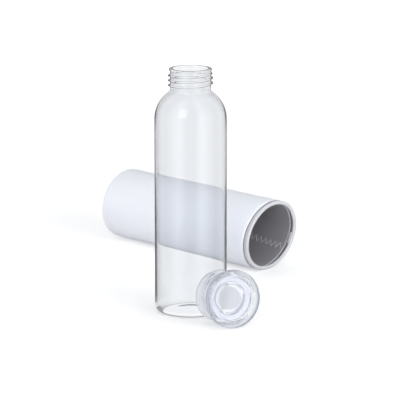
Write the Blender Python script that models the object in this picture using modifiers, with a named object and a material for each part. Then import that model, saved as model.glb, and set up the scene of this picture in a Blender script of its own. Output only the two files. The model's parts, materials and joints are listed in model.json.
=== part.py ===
"""A glass drinking bottle that stands upright, its screw lid taken off and lying in front, and its sewn
sleeve lying beside it. Metres, +Z up, Y along the sleeve. The origin is the middle of the whole set's
outer box, on the surface that the set rests on."""

import math

import bmesh
import bpy
from mathutils import Matrix, Vector

MM = 0.001

# Room between pieces
SEAT_GAP = 0.3 * MM          # between two pieces that touch
THREAD_CLEARANCE = 0.4 * MM  # between the bottle's thread and the lid's wall
PLUG_CLEARANCE = 0.9 * MM    # between the lid's plug and the bottle's bore
LINING_EASE = 0.6 * MM       # between the bottle and the sleeve's lining

# Bottle
BODY_RADIUS = 32.5 * MM
BOTTLE_HEIGHT = 223.0 * MM
GLASS_WALL = 2.2 * MM
BASE_THICKNESS = 4.0 * MM
BASE_CORNER_RADIUS = 7.0 * MM
FLOOR_CORNER_RADIUS = 6.0 * MM
RESTING_RING_WIDTH = 2.5 * MM
PUSH_UP_HEIGHT = 3.0 * MM
SHOULDER_RADIUS = 34.8 * MM
NECK_FILLET_RADIUS = 3.0 * MM
NECK_RADIUS = 18.4 * MM
NECK_LENGTH = 18.3 * MM
NECK_WALL = 2.5 * MM
LIP_HEIGHT = 2.4 * MM
LIP_STAND_OUT = 0.8 * MM
LIP_ROUNDING = 0.6 * MM

# Screw thread, the same pitch on the bottle and in the lid
THREAD_PITCH = 4.4 * MM
THREAD_SINK = 0.8 * MM       # how deep a ridge is rooted in the wall that carries it
NECK_THREAD_DEPTH = 2.0 * MM
NECK_THREAD_WIDTH = 2.8 * MM
NECK_THREAD_LIFT = 2.8 * MM  # the ridge's lowest turn above the foot of the neck
NECK_THREAD_TURNS = 2.6
NECK_THREAD_ANGLE = 124
LID_THREAD_DEPTH = 1.4 * MM
LID_THREAD_WIDTH = 2.2 * MM
LID_THREAD_LIFT = 3.2 * MM   # the ridge's first turn above the skirt's end
LID_THREAD_TURNS = 2.25
LID_THREAD_ANGLE = 204
THREAD_FADE_TURNS = 0.15
THREAD_END_SHARE = 0.15
HUMP_ANGLES = (-65, -25, 25, 65)  # where a ridge's rounded section has its points

# Lid
LID_HEIGHT = 30.0 * MM
FLANGE_STAND_OUT = 2.4 * MM   # how far the flange stands out past the skirt
FLANGE_HEIGHT = 6.6 * MM
FLANGE_ROUNDING = 1.2 * MM
SKIRT_WALL = 2.8 * MM
SKIRT_ROUNDING = 0.7 * MM
FLANGE_RIM_WIDTH = 6.6 * MM   # from the flange's edge to its recess
RECESS_DEPTH = 5.6 * MM
RECESS_ROUNDING = 1.0 * MM
LID_FLOOR = 2.0 * MM
DISH_DEPTH = 3.0 * MM
PLUG_WALL = 1.5 * MM
SEAL_THICKNESS = 2.0 * MM
SEAL_ROUNDING = 0.4 * MM

# Sleeve
SLEEVE_LENGTH = 214.0 * MM
SHELL_THICKNESS = 0.8 * MM
LINING_THICKNESS = 0.4 * MM
SLEEVE_CORNER_RADIUS = 2.2 * MM
HEM_WIDTH = 5.6 * MM
HEM_TURN_IN = 2.6 * MM       # how much further the hem runs inside the mouth than outside
HEM_THICKNESS = 3.6 * MM     # of the roll at the mouth, which narrows it to grip the bottle
HEM_EDGE_WIDTH = 0.8 * MM    # of the raised edge at the hem's inner end
HEM_EDGE_HEIGHT = 0.8 * MM
THREAD_RADIUS = 0.25 * MM    # sewing thread
STITCH_DIP = 0.2 * MM        # how deep the hem's thread dips between two stitches
HEM_STITCHES = 48
BASE_STITCHES = 36
BASE_STITCH_INSET = 1.0 * MM
BASE_STITCH_WIDTH = 2.0 * MM
SEAM_STITCH_WIDTH = 4.0 * MM
SEAM_STITCH_PITCH = 4.4 * MM
SEAM_START_ANGLE = -38
SEAM_TWIST_ANGLE = 75

# How the three things lie
LID_GAP = 14.2 * MM          # from the bottle's body to the lid's skirt
LID_SIDE = 8.2 * MM          # how far the lid lies to the bottle's left
LID_TURN_ANGLE = -15
SLEEVE_GAP = 97.3 * MM       # from the bottle's body to the sleeve
SLEEVE_SETBACK = 66.1 * MM   # from the bottle's axis back to the sleeve's mouth
MOUTH_LEAN_ANGLE = 11.2      # how far the mouth's top leans out
END_LEAN_ANGLE = 5.8         # how far the closed end's top leans in
SWING_ANGLE = 3.9            # how far both ends are turned sideways

# Fineness
TURN_STEPS = 40
THREAD_STEPS_PER_TURN = 20
ROUNDING_STEPS = 3
EDGE_STEPS = 2               # for the small rounding of a hard piece's edge
BEVEL_STEPS = 1              # for the seal's edges
ROLL_STEPS = 9               # round the hem's roll
SHOULDER_STEPS = 7
MERGE_DISTANCE = 0.02 * MM

# Sizes that follow from the ones above
INNER_BODY_RADIUS = BODY_RADIUS - GLASS_WALL
NECK_FOOT = BOTTLE_HEIGHT - NECK_LENGTH
LIP_RADIUS = NECK_RADIUS + LIP_STAND_OUT
BORE_RADIUS = NECK_RADIUS - NECK_WALL
CAVITY_RADIUS = NECK_RADIUS + NECK_THREAD_DEPTH + THREAD_CLEARANCE
SKIRT_RADIUS = CAVITY_RADIUS + SKIRT_WALL
FLANGE_RADIUS = SKIRT_RADIUS + FLANGE_STAND_OUT
RECESS_RADIUS = FLANGE_RADIUS - FLANGE_RIM_WIDTH
PLUG_RADIUS = BORE_RADIUS - PLUG_CLEARANCE
DISH_RADIUS = PLUG_RADIUS - PLUG_WALL
RECESS_FLOOR = LID_HEIGHT - RECESS_DEPTH
SEAL_SEAT = RECESS_FLOOR - LID_FLOOR
LINING_INNER_RADIUS = BODY_RADIUS + LINING_EASE
LINING_RADIUS = LINING_INNER_RADIUS + LINING_THICKNESS
SHELL_INNER_RADIUS = LINING_RADIUS + SEAT_GAP
SLEEVE_RADIUS = SHELL_INNER_RADIUS + SHELL_THICKNESS
STITCH_CHANNEL = SEAT_GAP + STITCH_DIP + 2 * THREAD_RADIUS  # how deep a stitch line is drawn in


def arc(centre_r, centre_z, radius, start, end, steps):
    """Points (r, z) on a circle from the start angle to the end angle, in degrees, both ends included."""
    angles = [math.radians(start + (end - start) * i / steps) for i in range(steps + 1)]
    return [(centre_r + radius * math.cos(a), centre_z + radius * math.sin(a)) for a in angles]


def collection_named(name):
    """A new collection under the scene's own."""
    made = bpy.data.collections.new(name)
    bpy.context.scene.collection.children.link(made)
    return made


def material(name, colour, roughness, alpha=1.0, transmission=0.0, ior=1.5):
    """A Principled BSDF material of one colour."""
    made = bpy.data.materials.new(name)
    made.use_nodes = True
    shader = made.node_tree.nodes["Principled BSDF"]
    shader.inputs["Base Color"].default_value = (*colour, 1.0)
    shader.inputs["Roughness"].default_value = roughness
    shader.inputs["Metallic"].default_value = 0.0
    shader.inputs["IOR"].default_value = ior
    shader.inputs["Alpha"].default_value = alpha
    shader.inputs["Transmission Weight"].default_value = transmission
    made.diffuse_color = (*colour, alpha)
    return made


def profile_mesh(name, points, closed):
    """A mesh of edges only, through the points (r, z) in the XZ plane."""
    count = len(points)
    edges = [(i, i + 1) for i in range(count - 1)] + ([(count - 1, 0)] if closed else [])
    mesh = bpy.data.meshes.new(name)
    mesh.from_pydata([(r, 0.0, z) for r, z in points], edges, [])
    return mesh


def turned(name, points, collection, closed=False):
    """A body of revolution about Z. Its profile runs from the inside over the top and down the outer side.
    An open profile starts and ends on the axis, a closed one goes round a ring's section."""
    made = bpy.data.objects.new(name, profile_mesh(name, points, closed))
    collection.objects.link(made)
    screw = made.modifiers.new("turn", "SCREW")
    screw.axis = "Z"
    screw.angle = math.tau
    screw.steps = screw.render_steps = TURN_STEPS
    screw.use_merge_vertices = True
    screw.merge_threshold = MERGE_DISTANCE
    screw.use_smooth_shade = True
    return made


def thread_ridge(name, wall_radius, depth, width, turns, start_angle, start_height, collection):
    """A helical ridge rooted in a wall. A positive depth stands outwards and a negative one inwards. Its
    section is a rounded hump, and both of its ends sink into the wall."""
    outward = math.copysign(1.0, depth)
    root = wall_radius - outward * THREAD_SINK
    hump = []
    for degrees in HUMP_ANGLES:
        angle = math.radians(degrees)
        hump.append((wall_radius + depth * math.cos(angle), width / 2 * math.sin(angle)))
    section = [(root, -width / 2)] + hump + [(root, width / 2)]
    ridge = bpy.data.objects.new(name, profile_mesh(name, section, True))
    collection.objects.link(ridge)
    steps = round(turns * THREAD_STEPS_PER_TURN)
    screw = ridge.modifiers.new("sweep", "SCREW")
    screw.axis = "Z"
    screw.angle = turns * math.tau
    screw.screw_offset = turns * THREAD_PITCH
    screw.steps = screw.render_steps = steps
    swept = real_mesh(ridge)
    for index, vertex in enumerate(swept.vertices):
        along = (index // len(section)) / steps * turns
        fade = min(along, turns - along) / THREAD_FADE_TURNS
        share = max(THREAD_END_SHARE, math.sin(math.pi / 2 * min(1.0, fade)))
        flat = Vector((vertex.co.x, vertex.co.y))
        radius = root + (flat.length - root) * share
        flat = flat.normalized() * radius
        vertex.co = (flat.x, flat.y, vertex.co.z)
    close_up(swept)
    ridge.modifiers.clear()
    ridge.data = swept
    turn = Matrix.Rotation(math.radians(start_angle), 4, "Z")
    ridge.data.transform(Matrix.Translation((0.0, 0.0, start_height)) @ turn)
    ridge.hide_render = True
    ridge.display_type = "WIRE"
    return ridge


def real_mesh(thing):
    """The mesh of an object with its modifiers worked out."""
    graph = bpy.context.evaluated_depsgraph_get()
    return bpy.data.meshes.new_from_object(thing.evaluated_get(graph))


def close_up(mesh):
    """Merges doubles, fills the open ends and turns the faces outwards."""
    shape = bmesh.new()
    shape.from_mesh(mesh)
    bmesh.ops.remove_doubles(shape, verts=shape.verts, dist=MERGE_DISTANCE)
    open_edges = [edge for edge in shape.edges if edge.is_boundary]
    bmesh.ops.holes_fill(shape, edges=open_edges, sides=0)
    bmesh.ops.recalc_face_normals(shape, faces=shape.faces)
    shape.to_mesh(mesh)
    shape.free()


def join_to(thing, other):
    """Makes the other shape one solid with the thing."""
    union = thing.modifiers.new("join " + other.name, "BOOLEAN")
    union.operation = "UNION"
    union.solver = "EXACT"
    union.object = other


def given_way(point):
    """Where a point of the round sleeve lies once the soft cloth has given way: the sleeve's top has moved
    towards the mouth and its far side towards the closed end."""
    x, y, z = point
    share = z / SLEEVE_LENGTH
    lean = math.radians(END_LEAN_ANGLE + (MOUTH_LEAN_ANGLE - END_LEAN_ANGLE) * share)
    return x, y, z + y * math.tan(lean) - x * math.tan(math.radians(SWING_ANGLE))


def lean_over(things):
    """Works out the turned shapes of cloth and moves their points as the cloth gives way."""
    for thing in things:
        shape = real_mesh(thing)
        for vertex in shape.vertices:
            vertex.co = given_way(vertex.co)
        thing.modifiers.clear()
        thing.data = shape


def sewing(name, run, collection, closed=False):
    """One length of sewing thread through the round sleeve's points, or a loop of it, which leans with the
    cloth."""
    curve = bpy.data.curves.new(name, "CURVE")
    curve.dimensions = "3D"
    curve.bevel_depth = THREAD_RADIUS
    curve.bevel_resolution = 0
    curve.use_fill_caps = True
    spline = curve.splines.new("POLY")
    spline.points.add(len(run) - 1)
    for place, point in zip(spline.points, run):
        place.co = (*given_way(point), 1.0)
    spline.use_cyclic_u = closed
    made = bpy.data.objects.new(name, curve)
    collection.objects.link(made)
    return made


def shoulder(body_radius, neck_radius, curve_radius, fillet_radius):
    """The rise of a shoulder from body to neck: an arc tangent to the body, then a hollow fillet tangent
    to the arc and to the neck. Returns the points from the neck down to the body, their height measured
    from the arc's centre, and the height at which the neck starts."""
    centre_r = body_radius - curve_radius
    fillet_r = neck_radius + fillet_radius
    reach = curve_radius + fillet_radius
    rise = math.sqrt(reach**2 - (fillet_r - centre_r) ** 2)
    slope = math.degrees(math.atan2(rise, fillet_r - centre_r))
    fillet = arc(fillet_r, rise, fillet_radius, 180, 180 + slope, ROUNDING_STEPS)
    swell = arc(centre_r, 0.0, curve_radius, slope, 0, SHOULDER_STEPS)
    return fillet + swell[1:], rise


def lifted(points, height):
    """The points (r, z) raised by a height."""
    return [(r, z + height) for r, z in points]


def bottle_profile():
    """The glass's section, from the middle of the inner floor over the lip to the middle of the base."""
    outer, rise = shoulder(BODY_RADIUS, NECK_RADIUS, SHOULDER_RADIUS, NECK_FILLET_RADIUS)
    bore_fillet = NECK_FILLET_RADIUS + NECK_RADIUS - BORE_RADIUS
    inner, _ = shoulder(INNER_BODY_RADIUS, BORE_RADIUS, SHOULDER_RADIUS - GLASS_WALL, bore_fillet)
    shoulder_start = NECK_FOOT - rise
    floor_edge = INNER_BODY_RADIUS - FLOOR_CORNER_RADIUS
    ring_outer = BODY_RADIUS - BASE_CORNER_RADIUS
    ring_inner = ring_outer - RESTING_RING_WIDTH
    dome_shares = (0.0, 0.4, 0.75, 1.0)
    floor = [
        (share * floor_edge, BASE_THICKNESS + PUSH_UP_HEIGHT * (1 - share**2)) for share in dome_shares
    ]
    floor_corner = arc(
        floor_edge, BASE_THICKNESS + FLOOR_CORNER_RADIUS, FLOOR_CORNER_RADIUS, -90, 0, ROUNDING_STEPS
    )
    inside = lifted(inner, shoulder_start)[::-1]
    lip_edge = BOTTLE_HEIGHT - LIP_ROUNDING
    lip = arc(BORE_RADIUS + LIP_ROUNDING, lip_edge, LIP_ROUNDING, 180, 90, EDGE_STEPS)
    lip += arc(LIP_RADIUS - LIP_ROUNDING, lip_edge, LIP_ROUNDING, 90, 0, EDGE_STEPS)
    lip += [
        (LIP_RADIUS, BOTTLE_HEIGHT - LIP_HEIGHT + LIP_ROUNDING),
        (NECK_RADIUS, BOTTLE_HEIGHT - LIP_HEIGHT),
    ]
    outside = lifted(outer, shoulder_start)
    corner = arc(ring_outer, BASE_CORNER_RADIUS, BASE_CORNER_RADIUS, 0, -90, 2 * ROUNDING_STEPS)
    push_up = [
        (share * ring_inner, PUSH_UP_HEIGHT * (1 - share**2)) for share in reversed(dome_shares)
    ]
    return floor + floor_corner[1:] + inside + lip + outside + corner + push_up


def bottle_glass(parts, cutters):
    """The blown bottle with the thread moulded round its neck."""
    glass = turned("bottle_glass", bottle_profile(), parts)
    ridge = thread_ridge(
        "neck_thread_ridge",
        NECK_RADIUS,
        NECK_THREAD_DEPTH,
        NECK_THREAD_WIDTH,
        NECK_THREAD_TURNS,
        NECK_THREAD_ANGLE,
        NECK_FOOT + NECK_THREAD_LIFT,
        cutters,
    )
    join_to(glass, ridge)
    glass.data.materials.append(material("clear_glass", (0.93, 0.95, 0.96), 0.02, 0.3, 1.0, 1.52))
    return glass, ridge


def lid_profile():
    """The lid's section, from the middle of the dish over the flange, down the skirt and up inside it."""
    dish_floor = RECESS_FLOOR - DISH_DEPTH
    plug_end = dish_floor - LID_FLOOR
    flange_foot = LID_HEIGHT - FLANGE_HEIGHT
    top = [(0.0, dish_floor)]
    top += arc(DISH_RADIUS - PLUG_WALL, dish_floor + PLUG_WALL, PLUG_WALL, -90, 0, EDGE_STEPS)
    top += [(DISH_RADIUS, RECESS_FLOOR)]
    recess_foot = RECESS_FLOOR + RECESS_ROUNDING
    recess_top = LID_HEIGHT - RECESS_ROUNDING
    top += arc(RECESS_RADIUS - RECESS_ROUNDING, recess_foot, RECESS_ROUNDING, -90, 0, EDGE_STEPS)
    edge = FLANGE_RADIUS - FLANGE_ROUNDING
    rim = arc(RECESS_RADIUS + RECESS_ROUNDING, recess_top, RECESS_ROUNDING, 180, 90, EDGE_STEPS)
    rim += arc(edge, LID_HEIGHT - FLANGE_ROUNDING, FLANGE_ROUNDING, 90, 0, ROUNDING_STEPS)
    rim += arc(edge, flange_foot + FLANGE_ROUNDING, FLANGE_ROUNDING, 0, -45, EDGE_STEPS)
    skirt = [(SKIRT_RADIUS, flange_foot)]
    outer_edge = SKIRT_RADIUS - SKIRT_ROUNDING
    inner_edge = CAVITY_RADIUS + SKIRT_ROUNDING
    skirt += arc(outer_edge, SKIRT_ROUNDING, SKIRT_ROUNDING, 0, -90, EDGE_STEPS)
    skirt += arc(inner_edge, SKIRT_ROUNDING, SKIRT_ROUNDING, -90, -180, EDGE_STEPS)
    inside = [(CAVITY_RADIUS, SEAL_SEAT), (PLUG_RADIUS, SEAL_SEAT)]
    inside += arc(PLUG_RADIUS - PLUG_WALL, plug_end + PLUG_WALL, PLUG_WALL, 0, -90, EDGE_STEPS)
    return top + rim + skirt + inside + [(0.0, plug_end)]


def lid_shell(parts, cutters):
    """The moulded lid: flange, recessed top, plug and a skirt with the thread inside it."""
    shell = turned("lid_shell", lid_profile(), parts)
    ridge = thread_ridge(
        "lid_thread_ridge",
        CAVITY_RADIUS,
        -LID_THREAD_DEPTH,
        LID_THREAD_WIDTH,
        LID_THREAD_TURNS,
        LID_THREAD_ANGLE,
        LID_THREAD_LIFT,
        cutters,
    )
    join_to(shell, ridge)
    shell.data.materials.append(material("clear_plastic", (0.92, 0.94, 0.96), 0.08, 0.35, 0.9, 1.49))
    return shell, ridge


def ring_section(inner_radius, outer_radius, low, high, rounding):
    """The section of a ring with bevelled edges, going up inside and down outside."""
    inner = inner_radius + rounding
    outer = outer_radius - rounding
    section = arc(inner, high - rounding, rounding, 180, 90, BEVEL_STEPS)
    section += arc(outer, high - rounding, rounding, 90, 0, BEVEL_STEPS)
    section += arc(outer, low + rounding, rounding, 0, -90, BEVEL_STEPS)
    return section + arc(inner, low + rounding, rounding, -90, -180, BEVEL_STEPS)


def lid_seal(parts):
    """The soft ring round the plug, which the bottle's lip presses against."""
    top = SEAL_SEAT - SEAT_GAP
    section = ring_section(
        PLUG_RADIUS + SEAT_GAP, CAVITY_RADIUS - SEAT_GAP, top - SEAL_THICKNESS, top, SEAL_ROUNDING
    )
    seal = turned("lid_seal", section, parts, closed=True)
    seal.data.materials.append(material("white_silicone", (0.93, 0.93, 0.94), 0.45))
    return seal


def curled_tube(outer_radius, thickness, corner_radius, low, high):
    """The section of a tube whose lower end curls inwards, from that end up inside and down outside."""
    inner_radius = outer_radius - thickness
    centre_r = outer_radius - corner_radius
    centre_z = low + corner_radius
    inside = arc(centre_r, centre_z, corner_radius - thickness, -90, 0, ROUNDING_STEPS)
    outside = arc(centre_r, centre_z, corner_radius, 0, -90, ROUNDING_STEPS)
    return inside + [(inner_radius, high), (outer_radius, high)] + outside


def sleeve_cloth(parts):
    """The sleeve's outer cloth and its lining, both curled in at the closed end, and their two discs."""
    white = material("white_cloth", (0.83, 0.85, 0.88), 0.9)
    grey = material("grey_lining", (0.16, 0.16, 0.17), 0.95)
    shell_end = SLEEVE_LENGTH - HEM_WIDTH - SEAT_GAP
    lining_end = shell_end - HEM_TURN_IN
    seam_radius = SLEEVE_RADIUS - SLEEVE_CORNER_RADIUS
    lining_step = SHELL_THICKNESS + SEAT_GAP
    shell = curled_tube(SLEEVE_RADIUS, SHELL_THICKNESS, SLEEVE_CORNER_RADIUS, 0.0, shell_end)
    lining = curled_tube(
        LINING_RADIUS, LINING_THICKNESS, SLEEVE_CORNER_RADIUS - lining_step, lining_step, lining_end
    )
    disc_radius = seam_radius - SEAT_GAP
    base = [
        (0.0, STITCH_CHANNEL + SHELL_THICKNESS),
        (disc_radius, STITCH_CHANNEL + SHELL_THICKNESS),
        (disc_radius, STITCH_CHANNEL),
        (0.0, STITCH_CHANNEL),
    ]
    inner_face = STITCH_CHANNEL + SHELL_THICKNESS + SEAT_GAP
    base_lining = [
        (0.0, inner_face + LINING_THICKNESS),
        (disc_radius, inner_face + LINING_THICKNESS),
        (disc_radius, inner_face),
        (0.0, inner_face),
    ]
    made = [
        turned("sleeve_shell", shell, parts, closed=True),
        turned("sleeve_lining", lining, parts, closed=True),
        turned("sleeve_base", base, parts),
        turned("sleeve_base_lining", base_lining, parts),
    ]
    for piece, cloth in zip(made, (white, grey, white, grey)):
        piece.data.materials.append(cloth)
    lean_over(made)
    return made


def sleeve_hem(parts):
    """The hem: a round roll at the mouth, a channel that its stitch line is drawn into, and inside the
    mouth a thin band that ends in a raised edge."""
    low = SLEEVE_LENGTH - HEM_WIDTH
    turn_in_end = low - HEM_TURN_IN
    edge_top = turn_in_end + HEM_EDGE_WIDTH
    edge_radius = LINING_INNER_RADIUS - HEM_EDGE_HEIGHT
    channel_low = low + THREAD_RADIUS
    channel_high = channel_low + 2 * (THREAD_RADIUS + SEAT_GAP)
    channel_radius = SLEEVE_RADIUS - STITCH_CHANNEL
    roll = HEM_THICKNESS / 2
    section = [
        (LINING_RADIUS, turn_in_end),
        (edge_radius, turn_in_end),
        (edge_radius, edge_top),
        (LINING_INNER_RADIUS, edge_top),
        (LINING_INNER_RADIUS, SLEEVE_LENGTH - HEM_THICKNESS),
    ]
    section += arc(SLEEVE_RADIUS - roll, SLEEVE_LENGTH - roll, roll, 270, 0, ROLL_STEPS)
    section += [
        (SLEEVE_RADIUS, channel_high),
        (channel_radius, channel_high),
        (channel_radius, channel_low),
        (SLEEVE_RADIUS, channel_low),
        (SLEEVE_RADIUS, low),
        (LINING_RADIUS, low),
    ]
    hem = turned("sleeve_hem", section, parts, closed=True)
    hem.data.materials.append(material("hem_cloth", (0.74, 0.75, 0.78), 0.9))
    lean_over([hem])
    return hem


def stitched_ring(name, radii, height, count, parts):
    """A loop of thread at one height that goes from one radius to the other and back in each stitch."""
    run = []
    for i in range(2 * count):
        angle = i * math.pi / count
        run.append((radii[i % 2] * math.cos(angle), radii[i % 2] * math.sin(angle), height))
    return sewing(name, run, parts, closed=True)


def side_seam(parts):
    """The zigzag that joins the sleeve's edges, seen inside it, which winds a little round the lining."""
    radius = LINING_INNER_RADIUS - SEAT_GAP - THREAD_RADIUS
    low = 2 * SLEEVE_CORNER_RADIUS
    high = SLEEVE_LENGTH - HEM_WIDTH - 2 * HEM_TURN_IN
    legs = 2 * round((high - low) / SEAM_STITCH_PITCH)
    half = SEAM_STITCH_WIDTH / 2 / radius
    run = []
    for leg in range(legs + 1):
        share = leg / legs
        angle = math.radians(SEAM_START_ANGLE + SEAM_TWIST_ANGLE * share) + (half if leg % 2 else -half)
        run.append((radius * math.cos(angle), radius * math.sin(angle), high + (low - high) * share))
    return sewing("side_seam_stitching", run, parts)


def sleeve_stitching(parts):
    """The three stitch lines: round the hem, round the base and down the side."""
    hem_line = SLEEVE_LENGTH - HEM_WIDTH + 2 * THREAD_RADIUS + SEAT_GAP
    hem_out = SLEEVE_RADIUS - THREAD_RADIUS
    base_out = SLEEVE_RADIUS - SLEEVE_CORNER_RADIUS - BASE_STITCH_INSET
    hem_radii = (hem_out, hem_out - STITCH_DIP)
    base_radii = (base_out, base_out - BASE_STITCH_WIDTH)
    made = [
        stitched_ring("hem_stitching", hem_radii, hem_line, HEM_STITCHES, parts),
        stitched_ring("base_stitching", base_radii, THREAD_RADIUS, BASE_STITCHES, parts),
        side_seam(parts),
    ]
    thread = material("grey_thread", (0.34, 0.34, 0.36), 0.8)
    for stitches in made:
        stitches.data.materials.append(thread)
    return made


def lid_tilt():
    """The angle at which the lid's axis rises towards its top when the lid lies on its side. It rests on
    two rounded edges, the flange's and the skirt end's: the line that touches both circles is the floor."""
    length = LID_HEIGHT - FLANGE_ROUNDING - SKIRT_ROUNDING
    step = (FLANGE_RADIUS - FLANGE_ROUNDING) - (SKIRT_RADIUS - SKIRT_ROUNDING)
    between = math.hypot(length, step)
    return math.atan2(step, length) + math.asin((FLANGE_ROUNDING - SKIRT_ROUNDING) / between)


def holder(name, pieces, above, collection):
    """An empty at its pieces' own origin, which carries them."""
    made = bpy.data.objects.new(name, None)
    made.empty_display_size = NECK_RADIUS
    collection.objects.link(made)
    made.parent = above
    for piece in pieces:
        piece.parent = made
    return made


def points_of(things):
    """Every point of the things' finished shapes, in the scene's own axes."""
    bpy.context.view_layer.update()
    return [thing.matrix_world @ v.co for thing in things for v in real_mesh(thing).vertices]


def set_down(place, pieces):
    """Raises or lowers a holder so that its pieces' lowest point is at height zero."""
    place.location.z -= min(point.z for point in points_of(pieces))


def main():
    for thing in list(bpy.data.objects):
        bpy.data.objects.remove(thing)
    parts = collection_named("glass_bottle_set")
    cutters = collection_named("cutters")

    glass, neck_ridge = bottle_glass(parts, cutters)
    bottle = [glass]
    shell, lid_ridge = lid_shell(parts, cutters)
    lid = [shell, lid_seal(parts)]
    sleeve = sleeve_cloth(parts) + [sleeve_hem(parts)] + sleeve_stitching(parts)

    everything = holder("set_place", [], None, parts)
    holder("bottle_place", bottle + [neck_ridge], everything, parts)
    lid_place = holder("lid_place", lid + [lid_ridge], everything, parts)
    sleeve_place = holder("sleeve_place", sleeve, everything, parts)

    lies = Matrix.Rotation(math.radians(90), 4, "X")
    rises = Matrix.Rotation(-lid_tilt(), 4, "X")
    turns = Matrix.Rotation(math.radians(LID_TURN_ANGLE), 4, "Z")
    lid_place.matrix_local = turns @ rises @ lies
    lid_place.location = (-LID_SIDE, -(BODY_RADIUS + LID_GAP), 0.0)
    set_down(lid_place, lid)

    sleeve_place.matrix_local = lies
    axis_x = BODY_RADIUS + SLEEVE_GAP + SLEEVE_RADIUS
    sleeve_place.location = (axis_x, SLEEVE_SETBACK + SLEEVE_LENGTH, 0.0)
    set_down(sleeve_place, sleeve)

    points = points_of(bottle + lid + sleeve)
    for side in range(2):
        spread = [point[side] for point in points]
        everything.location[side] = -(min(spread) + max(spread)) / 2


main()
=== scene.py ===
import json
import math

import bpy
import numpy as np
from bpy.props import FloatProperty, FloatVectorProperty, IntProperty, PointerProperty
from mathutils import Matrix, Vector


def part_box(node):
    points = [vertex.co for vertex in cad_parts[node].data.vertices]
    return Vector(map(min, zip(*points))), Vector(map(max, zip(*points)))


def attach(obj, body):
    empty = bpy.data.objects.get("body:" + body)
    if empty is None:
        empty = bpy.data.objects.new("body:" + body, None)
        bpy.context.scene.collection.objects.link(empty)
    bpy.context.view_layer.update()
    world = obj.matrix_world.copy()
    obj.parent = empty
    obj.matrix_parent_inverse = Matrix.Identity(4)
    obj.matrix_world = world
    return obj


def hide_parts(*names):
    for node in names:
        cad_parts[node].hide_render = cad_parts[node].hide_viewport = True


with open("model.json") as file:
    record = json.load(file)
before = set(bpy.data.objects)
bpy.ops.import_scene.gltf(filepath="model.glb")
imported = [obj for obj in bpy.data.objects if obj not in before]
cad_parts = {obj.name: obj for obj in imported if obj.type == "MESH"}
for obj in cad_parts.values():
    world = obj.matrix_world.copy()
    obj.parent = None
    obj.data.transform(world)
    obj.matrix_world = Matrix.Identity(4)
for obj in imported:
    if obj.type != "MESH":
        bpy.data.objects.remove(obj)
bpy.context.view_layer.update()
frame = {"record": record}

bl_info = {
    "name": "Glass bottle set",
    "version": (1, 0, 0),
    "blender": (4, 5, 0),
    "location": "3D View > Sidebar > Bottle",
    "description": "Finishes a glass drinking bottle, its screw lid and its sewn sleeve",
    "category": "Object",
}

VIEW_HEADING = math.radians(47.84)  # the way that the photo looks, from +X towards +Y
VIEW_PITCH = 0.2043
VIEW_ROLL = -0.0009
VIEW_PLACE = (-1.86485, -2.08555, 0.6557)
VIEW_LENS, VIEW_SENSOR = 271.9, 36.0  # in millimetres
LAMP_THROUGH_CLEAR = (0.77, 0.782, 0.80)  # what the clear pieces let through of a lamp's light
CLOTH_MAP = "cloth"  # the map in metres that each piece of cloth has


# Places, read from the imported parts


def box_middle(node):
    """The middle of a CAD node's box."""
    low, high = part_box(node)
    return (np.array(low) + np.array(high)) / 2


def mount_axis(name):
    """The axis of one of the record's mounts."""
    for mount in frame["record"]["mounts"]:
        if mount["name"] == name:
            return mount["axis"]
    raise ValueError("the record has no mount named " + name)


def bottle_place():
    """Where the bottle's own origin, the middle of its base, stands."""
    middle = box_middle("bottle_glass")
    return Matrix.Translation((middle[0], middle[1], 0.0))


def lid_place(seal_height):
    """Where the lid's own origin, the middle of its skirt's end, lies. The lid's Z runs towards its top."""
    x, y, z = mount_axis("lid_top")
    turn = Matrix.Rotation(math.atan2(x, -y), 4, "Z")
    lean = Matrix.Rotation(math.radians(90) - math.asin(z), 4, "X")
    seal = Matrix.Translation(box_middle("lid_seal"))
    return seal @ turn @ lean @ Matrix.Translation((0.0, 0.0, -seal_height))


def sleeve_place(disc_height):
    """Where the middle of the sleeve's closed end lies. The sleeve's Z runs towards its mouth."""
    x, _, z = box_middle("sleeve_shell")
    y = box_middle("sleeve_base")[1] + disc_height
    return Matrix.Translation((x, y, z)) @ Matrix.Rotation(math.radians(90), 4, "X")


# Sizes and colours


def length(name, description, default):
    """A size in metres that a user may change."""
    return FloatProperty(
        name=name, description=description, default=default, min=0.0, precision=5, unit="LENGTH", subtype="DISTANCE"
    )


def degrees(name, description, default):
    """An angle that a user may change. Its default is given in degrees."""
    return FloatProperty(name=name, description=description, default=math.radians(default), subtype="ANGLE")


def number(name, description, default, least=0.0):
    """A plain number that a user may change."""
    return FloatProperty(name=name, description=description, default=default, min=least)


def count(name, description, default):
    """A whole number of like things that a user may change."""
    return IntProperty(name=name, description=description, default=default, min=12)


def colour(name, description, default):
    """A colour that a user may change."""
    return FloatVectorProperty(
        name=name, description=description, default=default, min=0.0, max=1.0, size=3, subtype="COLOR"
    )


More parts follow.
